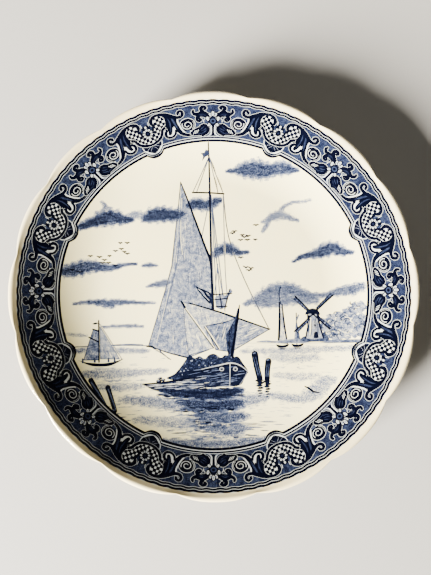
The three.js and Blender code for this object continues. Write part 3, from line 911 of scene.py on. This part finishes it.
def sheet_mesh(name, marks, edge, lattice, sparse, to_plate, wash=None):
    """A thin closed slab whose top carries the drawing."""
    flat, top, ink, grain = cut_sheet(marks, edge, lattice)
    upper = to_plate(flat)
    top = facing_up(top, upper)
    loop = outer_loop(top)
    ring = flat[loop]
    ring_lines = [(k, (k + 1) % len(ring)) for k in range(len(ring))]
    under_places = [Vector(p) for p in ring.tolist() + list(sparse)]
    under = delaunay_2d_cdt(under_places, ring_lines, [], 0, 1e-5, False)
    under_points = np.array([tuple(v) for v in under[0]])
    under_faces = np.array(under[2])
    under_faces = under_faces[wound(under_points[under_faces].mean(1), ring) != 0]
    lower = to_plate(under_points)
    under_faces = facing_up(under_faces, lower)[:, ::-1]
    upper = np.column_stack([upper, face_height(np.hypot(upper[:, 0], upper[:, 1]))])
    lower = np.column_stack([lower, face_height(np.hypot(lower[:, 0], lower[:, 1])) - SHEET])
    count = len(flat)
    sides = []
    for k, n in ring_lines:
        sides.append((loop[k], count + k, count + n))
        sides.append((loop[k], count + n, loop[n]))
    faces = np.vstack([top, under_faces + count, np.array(sides)])
    mesh = bpy.data.meshes.new(name)
    mesh.from_pydata((np.vstack([upper, lower]) * MM).tolist(), [], faces.tolist())
    spare_ink = np.zeros(len(faces) - len(top))
    for key, values in (("ink", ink), ("grain", grain)):
        layer = mesh.attributes.new(key, "FLOAT", "FACE")
        layer.data.foreach_set("value", np.concatenate([values, spare_ink]).astype(np.float32))
    if wash is not None:
        layer = mesh.attributes.new("wash", "FLOAT", "POINT")
        strength = wash(upper[:, 0], upper[:, 1])
        layer.data.foreach_set("value", np.concatenate([strength, np.zeros(len(lower))]).astype(np.float32))
    return mesh, len(top)


def vertex_places(mesh):
    places = np.empty(len(mesh.vertices) * 3, np.float32)
    mesh.vertices.foreach_get("co", places)
    return places.reshape(-1, 3)


def dress_sheet(mesh, top_count):
    """Gives a sheet its flat-laid UVs and the face's own smooth normals on top."""
    corners = len(mesh.loops)
    at = np.empty(corners, np.int32)
    mesh.loops.foreach_get("vertex_index", at)
    places = vertex_places(mesh)
    plain = np.empty(len(mesh.polygons) * 3, np.float32)
    mesh.polygons.foreach_get("normal", plain)
    normals = np.repeat(plain.reshape(-1, 3), 3, axis=0)
    here = places[at[: top_count * 3]] / MM
    radius = np.hypot(here[:, 0], here[:, 1])
    tilt = face_angle(radius)
    inward = -here[:, :2] / np.maximum(radius, 1e-6)[:, None]
    normals[: top_count * 3] = np.column_stack([inward * np.sin(tilt)[:, None], np.cos(tilt)])
    low, high = places[:, :2].min(0), places[:, :2].max(0)
    layer = mesh.uv_layers.new(name="OFBake")
    flat = (places[at][:, :2] - low) / (high - low).max() * 0.98 + 0.01
    layer.data.foreach_set("uv", flat.ravel().astype(np.float32))
    mesh.polygons.foreach_set("use_smooth", np.ones(len(mesh.polygons), bool))
    mesh.normals_split_custom_set(normals.tolist())
    mesh.update()


def put_in_scene(name, data):
    thing = bpy.data.objects.new(name, data)
    bpy.context.scene.collection.objects.link(thing)
    return thing


def add_piece(name, mesh, material, node):
    piece = put_in_scene(name, mesh)
    if not mesh.materials:
        mesh.materials.append(material)
    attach(piece, "root")
    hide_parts(node)
    return piece


SEAM = 0.01  # hairline between one sheet and the next
CLEAR_OF_SHELLS = 144.6  # inside this radius the border's shells never reach


def border_inner_edge(x):
    """Where the border stops and the scene starts, as h on the strip."""
    return 0.55 - bump(x)


def strip_to_plate(places):
    angle = places[:, 0] / REPEAT * (2 * math.pi / LENGTHS)
    radius = BORDER_INNER + places[:, 1]
    return np.column_stack([radius * np.cos(angle), radius * np.sin(angle)])


def border_lengths(material):
    x = np.linspace(SEAM, REPEAT - SEAM, 193)
    inner = np.column_stack([x, border_inner_edge(x) + SEAM])
    outer = np.column_stack([x[::-1], np.full(len(x), BORDER_WIDTH - SEAM)])
    edge = np.vstack([inner, outer])
    lattice = [(a, b) for a in np.arange(1.5, REPEAT - 1, 2.0) for b in np.arange(-3.5, 36, 2.0)]
    lattice = [p for p in lattice if p[1] > border_inner_edge(p[0]) + 0.4]
    sparse = [(a, b) for a in np.arange(4, REPEAT - 3, 6.0) for b in np.arange(2, 35, 6.0)]
    mesh, top_count = sheet_mesh("border_length", border_drawing(), edge, lattice, sparse, strip_to_plate)
    places = vertex_places(mesh)
    across, up, height = places.T
    for k in range(LENGTHS):
        turn = 2 * math.pi * k / LENGTHS
        c, s = math.cos(turn), math.sin(turn)
        copy = mesh.copy()
        turned = np.column_stack([c * across - s * up, s * across + c * up, height])
        copy.vertices.foreach_set("co", turned.ravel())
        copy.update()
        dress_sheet(copy, top_count)
        add_piece(f"border_length_{k + 1}", copy, material, f"border_print_{k + 1}")
    bpy.data.meshes.remove(mesh)


def harbour_sheet(material):
    along = np.linspace(0, REPEAT, 192, endpoint=False)
    rim = []
    for k in range(LENGTHS):
        strip = np.column_stack([along + k * REPEAT, border_inner_edge(along) - SEAM])
        rim.append(strip_to_plate(strip))
    edge = np.vstack(rim)
    pitch = 1.5
    steps = np.arange(-150, 150 + pitch, pitch)
    lattice = []
    for row, y in enumerate(steps):
        for x in steps + (row % 2) * pitch / 2:
            reach = math.hypot(x, y)
            if reach < BORDER_INNER - 0.8 and (reach < CLEAR_OF_SHELLS or inside((x, y), edge)):
                lattice.append((x, y))
    coarse = np.arange(-150, 151, 6.0)
    sparse = [(a, b) for a in coarse for b in coarse if math.hypot(a, b) < CLEAR_OF_SHELLS - 1.6]
    marks = harbour_drawing()
    mesh, top_count = sheet_mesh("harbour_scene", marks, edge, lattice, sparse, lambda p: p, wash_at)
    dress_sheet(mesh, top_count)
    return add_piece("harbour_scene", mesh, material, "scene_print")


# ---------------------------------------------------------------- the fired body
def bent(start, first, second, end, steps):
    """Points along a curve that leaves and arrives in the directions of its two handles, start left out."""
    points = []
    for k in range(1, steps + 1):
        t = k / steps
        weights = ((1 - t) ** 3, 3 * t * (1 - t) ** 2, 3 * t * t * (1 - t), t**3)
        pulls = list(zip(weights, (start, first, second, end)))
        points.append(tuple(sum(w * p[i] for w, p in pulls) for i in (0, 1)))
    return points


def rounded(corners, radii, steps=5):
    """A line through corners, each turned on its own radius."""
    points = [corners[0]]
    for before, corner, after, radius in zip(corners, corners[1:], corners[2:], radii):
        c = np.array(corner, float)
        back = np.array(before) - c
        ahead = np.array(after) - c
        back /= np.linalg.norm(back)
        ahead /= np.linalg.norm(ahead)
        half = math.acos(max(-1.0, min(1.0, float(back @ ahead)))) / 2
        reach = radius / math.tan(half)
        start, end = c + back * reach, c + ahead * reach
        centre = c + (back + ahead) / np.linalg.norm(back + ahead) * radius / math.sin(half)
        a, b = start - centre, end - centre
        spread = math.pi - 2 * half
        for k in range(steps + 1):
            t = k / steps
            mixed = (a * math.sin((1 - t) * spread) + b * math.sin(t * spread)) / math.sin(spread)
            points.append(tuple(centre + mixed))
    points.append(corners[-1])
    return points


RECESS = SHEET + 0.05  # depth of the bed that the sheets lie in


def body_section():
    """The body's section from the axis under the foot, out round the lip and back in under the sheets."""
    def under(r):
        return r + WALL * math.sin(face_angle(r)), float(face_height(r)) - WALL * math.cos(face_angle(r))

    foot = [(0, FOOT_HEIGHT), (FOOT_INNER - 3.4, FOOT_HEIGHT), (FOOT_INNER, 0), (FOOT_OUTER, 0),
            under(FOOT_OUTER + 2.2), under(FOOT_OUTER + 9)]
    section = [(0, FOOT_HEIGHT), (30, FOOT_HEIGHT), (60, FOOT_HEIGHT), (90, FOOT_HEIGHT)]
    section += rounded(foot, (3.0, 1.1, 1.1, 4.0))[1:]
    section += [under(r) for r in np.linspace(FOOT_OUTER + 11, BORDER_INNER, 9)]
    section += [under(r) for r in np.linspace(BORDER_INNER + 6, BORDER_OUTER, 6)]
    slant = np.array((math.cos(SLOPE), math.sin(SLOPE)))
    end = np.array(section[-1])
    outermost = (RIM_RADIUS, RIM_HEIGHT - 3.5)
    crest = (RIM_RADIUS - 3.3, RIM_HEIGHT)
    start = np.array((BORDER_OUTER, float(face_height(BORDER_OUTER))))
    section += bent(tuple(end), tuple(end + 3.0 * slant), (RIM_RADIUS, RIM_HEIGHT - 5.6), outermost, 8)
    section += bent(outermost, (RIM_RADIUS, RIM_HEIGHT - 1.5), (RIM_RADIUS - 1.4, RIM_HEIGHT), crest, 8)
    section += bent(crest, (RIM_RADIUS - 4.8, RIM_HEIGHT), tuple(start + 2.0 * slant), tuple(start), 7)
    bed = [BORDER_OUTER, *np.linspace(BORDER_OUTER - 6, BORDER_INNER, 6)]
    bed += list(np.linspace(BORDER_INNER - 2.5, FLOOR_EDGE, 17))
    section += [(r, float(face_height(r)) - RECESS) for r in bed]
    section += [(r, FLOOR_TOP - RECESS) for r in (80, 40, 0)]
    return section


def scalloped(radius, bearing):
    """Draws the lip in at each notch between two lobes."""
    outward = max(0.0, (radius - BORDER_OUTER) / (RIM_RADIUS - BORDER_OUTER))
    turns = bearing / (2 * math.pi / LOBES) - 0.5
    notch = (1 - abs(turns - round(turns)) * 2) ** NOTCH_SHARPNESS
    return radius - LOBE_DEPTH * notch * outward**2 * (2 - outward)


TURN_STEPS = LOBES * 24
BARE_FOOT = 0.35  # up to this height the foot's face is left unglazed


def fired_body(glaze, biscuit):
    """Turns the section into the body, leaves its foot bare, and pierces it for a wire."""
    section = body_section()
    vertices = []
    rows = []
    for r, z in section:
        if r < 1e-6:
            rows.append([len(vertices)])
            vertices.append((0, 0, z * MM))
            continue
        rows.append(list(range(len(vertices), len(vertices) + TURN_STEPS)))
        for k in range(TURN_STEPS):
            bearing = 2 * math.pi * k / TURN_STEPS
            radius = scalloped(r, bearing) * MM
            vertices.append((radius * math.cos(bearing), radius * math.sin(bearing), z * MM))
    faces = []
    for one, two in zip(rows, rows[1:]):
        for k in range(TURN_STEPS):
            n = (k + 1) % TURN_STEPS
            if len(one) == 1:
                faces.append((one[0], two[n], two[k]))
            elif len(two) == 1:
                faces.append((one[k], one[n], two[0]))
            else:
                faces.append((one[k], one[n], two[n], two[k]))
    mesh = bpy.data.meshes.new("fired_body")
    mesh.from_pydata(vertices, [], faces)
    mesh.materials.append(glaze)
    mesh.materials.append(biscuit)
    for face in mesh.polygons:
        face.material_index = int(face.center.z < BARE_FOOT * MM)
    mesh.polygons.foreach_set("use_smooth", np.ones(len(mesh.polygons), bool))
    body = add_piece("fired_body", mesh, glaze, "earthenware_body")
    pierce(body)
    body.data.set_sharp_from_angle(angle=math.radians(38))
    return body


WIRE_HOLE = 1.5  # radius
WIRE_HOLE_HEIGHT = 4.6
WIRE_HOLE_TURN = 9  # degrees to either side of the top of the scene
WIRE_HOLE_DRILL = 22  # length of the drill, well past both sides of the foot ring


def pierce(body):
    """Drills the two holes for a hanging wire through the foot ring."""
    drill_mesh = bpy.data.meshes.new("wire_drill")
    kit = bmesh.new()
    reach = (FOOT_OUTER + FOOT_INNER) / 2
    for side in (-1, 1):
        bearing = math.pi / 2 + side * math.radians(WIRE_HOLE_TURN)
        middle = Vector((math.cos(bearing) * reach, math.sin(bearing) * reach, WIRE_HOLE_HEIGHT)) * MM
        level = Matrix.Rotation(bearing, 4, "Z") @ Matrix.Rotation(math.pi / 2, 4, "Y")
        place = Matrix.Translation(middle) @ level
        shape = {"radius1": WIRE_HOLE * MM, "radius2": WIRE_HOLE * MM, "depth": WIRE_HOLE_DRILL * MM}
        bmesh.ops.create_cone(kit, cap_ends=True, segments=20, matrix=place, **shape)
    kit.to_mesh(drill_mesh)
    kit.free()
    drill = put_in_scene("wire_drill", drill_mesh)
    cut = body.modifiers.new("wire holes", "BOOLEAN")
    cut.operation = "DIFFERENCE"
    cut.object = drill
    cut.solver = "EXACT"
    bpy.context.view_layer.update()
    pierced = bpy.data.meshes.new_from_object(body.evaluated_get(bpy.context.evaluated_depsgraph_get()))
    body.modifiers.clear()
    old = body.data
    body.data = pierced
    pierced.name = "fired_body"
    bpy.data.meshes.remove(old)
    bpy.data.objects.remove(drill)
    bpy.data.meshes.remove(drill_mesh)


# ---------------------------------------------------------------- finishes
class Nodes:
    """Short ways to lay and join shader nodes."""

    def __init__(self, tree):
        self.tree = tree

    def add(self, kind, **settings):
        node = self.tree.nodes.new(kind)
        for key, value in settings.items():
            setattr(node, key, value)
        return node

    def feed(self, socket, value):
        """Joins another node's socket to this one, or sets it to a plain value."""
        if isinstance(value, bpy.types.NodeSocket):
            self.tree.links.new(value, socket)
        else:
            socket.default_value = value

    def set(self, node, **values):
        for key, value in values.items():
            self.feed(node.inputs[key.replace("_", " ")], value)
        return node

    def math(self, operation, a, b=0.0, clamp=False):
        node = self.add("ShaderNodeMath", operation=operation, use_clamp=clamp)
        self.feed(node.inputs[0], a)
        self.feed(node.inputs[1], b)
        return node.outputs[0]

    def swing(self, value, reach):
        """A noise of 0 to 1 as a swing to either side of nothing."""
        return self.math("MULTIPLY", self.math("SUBTRACT", value, 0.5), reach)

    def between(self, value, low, high, to_low=0.0, to_high=1.0):
        node = self.add("ShaderNodeMapRange", interpolation_type="SMOOTHSTEP")
        self.set(node, Value=value, From_Min=low, From_Max=high, To_Min=to_low, To_Max=to_high)
        return node.outputs[0]

    def mix(self, share, a, b, blend="MIX"):
        node = self.add("ShaderNodeMix", data_type="RGBA", blend_type=blend)
        for place, value in ((0, share), (6, a), (7, b)):
            self.feed(node.inputs[place], value)
        return node.outputs[2]

    def noise(self, where, scale, detail=2.0, roughness=0.5):
        node = self.add("ShaderNodeTexNoise")
        return self.set(node, Vector=where, Scale=scale, Detail=detail, Roughness=roughness).outputs[0]

    def stretched(self, where, x, y, z):
        node = self.add("ShaderNodeMapping")
        self.set(node, Vector=where)
        node.inputs["Scale"].default_value = (x, y, z)
        return node.outputs[0]

    def ramp(self, value, stops):
        node = self.add("ShaderNodeValToRGB")
        self.set(node, Fac=value)
        bar = node.color_ramp
        while len(bar.elements) < len(stops):
            bar.elements.new(0.5)
        for element, (at, colour) in zip(bar.elements, stops):
            element.position = at
            element.color = colour + (1.0,)
        return node.outputs[0]


def group(name, inputs, outputs):
    """An empty shader group with named sockets."""
    tree = bpy.data.node_groups.new(name, "ShaderNodeTree")
    for socket, kind, value in inputs:
        made = tree.interface.new_socket(socket, in_out="INPUT", socket_type=kind)
        if value is not None:
            made.default_value = value
    for socket, kind in outputs:
        tree.interface.new_socket(socket, in_out="OUTPUT", socket_type=kind)
    n = Nodes(tree)
    return tree, n, n.add("NodeGroupInput"), n.add("NodeGroupOutput")


def rgb(red, green, blue):
    """A screen colour of 0 to 255 as the shader's own light values."""
    values = []
    for part in (red, green, blue):
        c = part / 255
        values.append(c / 12.92 if c <= 0.04045 else ((c + 0.055) / 1.055) ** 2.4)
    return tuple(values)


def make_glaze_skin():
    """A glossy glaze: long ripples and orange peel, tint that pools and thins, and kiln specks."""
    tree, n, given, out = group(
        "glaze_skin",
        [("Tint", "NodeSocketColor", None)],
        [("Color", "NodeSocketColor"), ("Roughness", "NodeSocketFloat"), ("Normal", "NodeSocketVector")],
    )
    where = n.add("ShaderNodeTexCoord").outputs["Object"]
    long_wave = n.noise(where, 22.0, 1.0)
    peel = n.noise(where, 210.0, 1.0)
    height = n.math("ADD", long_wave, n.math("MULTIPLY", peel, 0.06))
    ripple = n.set(n.add("ShaderNodeBump"), Strength=0.5, Distance=0.0004, Height=height)
    cloudy = n.noise(where, 14.0, 3.0, 0.6)
    fine = n.noise(where, 120.0, 3.0, 0.6)
    tone = n.math("ADD", n.math("MULTIPLY", cloudy, 0.7), n.math("MULTIPLY", fine, 0.3))
    cool = n.mix(n.between(tone, 0.35, 0.65), (0.965, 0.975, 1.0, 1), (1.0, 0.985, 0.95, 1))
    colour = n.mix(1.0, given.outputs["Tint"], cool, "MULTIPLY")
    cells = n.set(n.add("ShaderNodeTexVoronoi"), Vector=where, Scale=75.0)
    dot = n.between(cells.outputs["Distance"], 0.03, 0.06, 1.0, 0.0)
    rare = n.between(cells.outputs["Color"], 0.93, 0.95)
    speck = n.math("MULTIPLY", dot, rare)
    colour = n.mix(n.math("MULTIPLY", speck, 0.55), colour, (0.2, 0.13, 0.08, 1))
    rough = n.between(n.noise(where, 60.0, 4.0, 0.65), 0.3, 0.8, 0.07, 0.16)
    n.set(out, Color=colour, Normal=ripple.outputs[0], Roughness=rough)
    return tree


def make_cobalt_ink():
    """Cobalt under the glaze: even where it is thick, stippled where it is washed thin."""
    tree, n, given, out = group(
        "cobalt_ink",
        [("Ink", "NodeSocketFloat", 0.0), ("Grain", "NodeSocketFloat", 0.0),
         ("Wash", "NodeSocketFloat", 0.0), ("Bare", "NodeSocketColor", None)],
        [("Color", "NodeSocketColor")],
    )
    where = n.add("ShaderNodeTexCoord").outputs["Object"]
    stipple = n.noise(where, 1250.0, 2.0, 0.7)
    mottle = n.noise(where, 260.0, 3.0, 0.6)
    rows = n.noise(n.stretched(where, 0.45, 1.4, 1.0), 380.0, 3.0, 0.6)
    spread = n.math("ADD", n.swing(stipple, 1.3), n.swing(mottle, 0.9))
    inked = n.between(given.outputs["Ink"], 0.0, 0.2)
    grained = n.math("MULTIPLY", spread, given.outputs["Grain"])
    loose = n.math("MULTIPLY", grained, n.math("MULTIPLY", inked, 0.75))
    drawn = n.math("ADD", given.outputs["Ink"], loose)
    broken = n.math("ADD", n.math("ADD", n.swing(stipple, 1.5), n.swing(rows, 0.45)), n.swing(mottle, 0.15))
    soft = n.math("ADD", n.math("MULTIPLY", given.outputs["Wash"], 0.9), broken)
    soft = n.math("MULTIPLY", soft, n.between(given.outputs["Wash"], 0.0, 0.22), clamp=True)
    tone = n.math("MAXIMUM", drawn, soft, clamp=True)
    uneven = n.swing(n.noise(where, 90.0, 3.0), 0.16)
    tone = n.math("ADD", tone, n.math("MULTIPLY", uneven, n.between(tone, 0.0, 0.3)), clamp=True)
    colour = n.ramp(tone, [
        (0.0, (1.0, 1.0, 1.0)),
        (0.25, rgb(154, 159, 171)),
        (0.42, rgb(88, 98, 122)),
        (0.6, rgb(40, 48, 70)),
        (0.78, rgb(13, 18, 38)),
        (1.0, rgb(2, 3, 15)),
    ])
    beneath = n.mix(n.between(tone, 0.0, 0.4), given.outputs["Bare"], (0.8, 0.8, 0.8, 1))
    n.set(out, Color=n.mix(1.0, beneath, colour, "MULTIPLY"))
    return tree


GLAZE_TINT = (0.9, 0.81, 0.44, 1.0)
SHADED_BODY_TINT = (0.73, 0.63, 0.37, 1.0)  # painted shade: the well's cream painted darker over the whole body, standing in for the shade on its rolled lip
BLEED_TINT = (0.48, 0.51, 0.49, 1.0)  # where cobalt has bled into it all round


def new_material(name):
    """An empty material, its nodes and its shader."""
    material = bpy.data.materials.new(name)
    material.use_nodes = True
    return material, Nodes(material.node_tree), material.node_tree.nodes["Principled BSDF"]


def ceramic(name, tint, skin, ink=None):
    """A glazed material: cobalt where it has any, under a glossy skin."""
    material, n, shader = new_material(name)
    glaze = n.set(n.add("ShaderNodeGroup", node_tree=skin), Tint=tint)
    colour = glaze.outputs["Color"]
    if ink:
        cobalt = n.add("ShaderNodeGroup", node_tree=ink)
        for key in ("ink", "grain", "wash"):
            layer = n.add("ShaderNodeAttribute", attribute_name=key)
            n.set(cobalt, **{key.capitalize(): layer.outputs["Fac"]})
        n.set(cobalt, Bare=colour)
        colour = cobalt.outputs["Color"]
    n.set(shader, Base_Color=colour, Roughness=glaze.outputs["Roughness"], Normal=glaze.outputs["Normal"])
    n.set(shader, IOR=1.52)
    return material


def bare_biscuit():
    """The unglazed clay of the face that the plate stands on: buff, chalky, pitted and a little stained."""
    material, n, shader = new_material("bare_biscuit")
    where = n.add("ShaderNodeTexCoord").outputs["Object"]
    grit = n.noise(where, 900.0, 4.0, 0.7)
    stain = n.noise(where, 55.0, 4.0, 0.6)
    colour = n.mix(n.between(stain, 0.35, 0.7), rgb(214, 190, 158) + (1,), rgb(150, 132, 112) + (1,))
    colour = n.mix(n.between(grit, 0.6, 0.75, 0.0, 0.5), colour, rgb(96, 82, 68) + (1,))
    pits = n.set(n.add("ShaderNodeBump"), Strength=0.6, Distance=0.0002, Height=grit)
    rough = n.between(grit, 0.3, 0.7, 0.75, 0.95)
    n.set(shader, Base_Color=colour, Roughness=rough, Normal=pits.outputs[0])
    return material


# ---------------------------------------------------------------- floor, light and camera
FLOOR_RADIUS = 12.0  # metres
FLOOR_SIDES = 96
WARM_LIGHT = (1.0, 0.95, 0.86)


def lay_floor():
    """A wide round sheet of plain pale paper."""
    paper, n, shader = new_material("studio_paper")
    n.set(shader, Base_Color=(0.34, 0.33, 0.31, 1.0), Roughness=0.9)
    mesh = bpy.data.meshes.new("studio_floor")
    bearings = np.linspace(0, 2 * math.pi, FLOOR_SIDES, endpoint=False)
    ring = [(FLOOR_RADIUS * math.cos(a), FLOOR_RADIUS * math.sin(a), 0) for a in bearings]
    mesh.from_pydata(ring, [], [tuple(range(FLOOR_SIDES))])
    mesh.materials.append(paper)
    put_in_scene("studio_floor", mesh)


def softbox(name, bearing, elevation, distance, size, power):
    """A square soft light that looks at the plate. Angles in degrees, lengths in metres, power in watts."""
    a, e = math.radians(bearing), math.radians(elevation)
    away = Vector((math.cos(a) * math.cos(e), math.sin(a) * math.cos(e), math.sin(e)))
    light = bpy.data.lights.new(name, "AREA")
    light.size = size
    light.energy = power
    light.color = WARM_LIGHT
    lamp = put_in_scene(name, light)
    lamp.location = away * distance
    lamp.rotation_euler = away.to_track_quat("Z", "Y").to_euler()


def light_room():
    """A key light low on one side, and wide fills that are too low to mirror in the plate's slopes."""
    softbox("window_light", 216, 19.5, 3.0, 0.9, 1640)
    softbox("far_wall_bounce", 36, 34, 2.2, 1.3, 10)
    softbox("upper_wall_bounce", 126, 34, 2.2, 1.3, 3)
    softbox("lower_wall_bounce", 306, 34, 2.2, 1.3, 2)
    world = bpy.data.worlds.new("studio")
    world.use_nodes = True
    air = world.node_tree.nodes["Background"]
    air.inputs["Color"].default_value = (1.0, 0.97, 0.93, 1)
    air.inputs["Strength"].default_value = 0.035
    bpy.context.scene.world = world


LENS = 27.85  # focal length on a sensor 36 mm wide
CAMERA_LEAN = (-4.06, -0.42)  # degrees away from straight down
CAMERA_SPIN = 1.0  # degrees
RIM_IN_VIEW = (-2.25, -2.27, -419.0)  # where the camera has the middle of the rim: right, up and back


def set_camera():
    """Almost straight above the plate, 0.42 m from its rim, a touch to one side and slightly turned."""
    optics = bpy.data.cameras.new("camera")
    optics.sensor_width = 36.0
    optics.lens = LENS
    optics.clip_start = 0.01
    lean = Vector((math.radians(CAMERA_LEAN[0]), math.radians(CAMERA_LEAN[1]), 0))
    spin = Matrix.Rotation(math.radians(CAMERA_SPIN), 3, "Z")
    turn = Matrix.Rotation(lean.length, 3, lean.normalized()) @ spin
    back = turn.transposed()
    at = -(back @ (Vector(RIM_IN_VIEW) * MM)) + Vector((0, 0, RIM_HEIGHT * MM))
    camera = put_in_scene("camera", optics)
    camera.matrix_world = Matrix.Translation(at) @ back.to_4x4()
    bpy.context.scene.camera = camera


set_camera()
light_room()
lay_floor()

skin = make_glaze_skin()
ink = make_cobalt_ink()
# the body's glaze is the well's cream painted darker all over: painted shade
cream_glaze = ceramic("cream_glaze", SHADED_BODY_TINT, skin)
scene_blue = ceramic("scene_blue_under_glaze", GLAZE_TINT, skin, ink)
border_blue = ceramic("border_blue_under_glaze", BLEED_TINT, skin, ink)

fired_body(cream_glaze, bare_biscuit())
harbour_sheet(scene_blue)
border_lengths(border_blue)
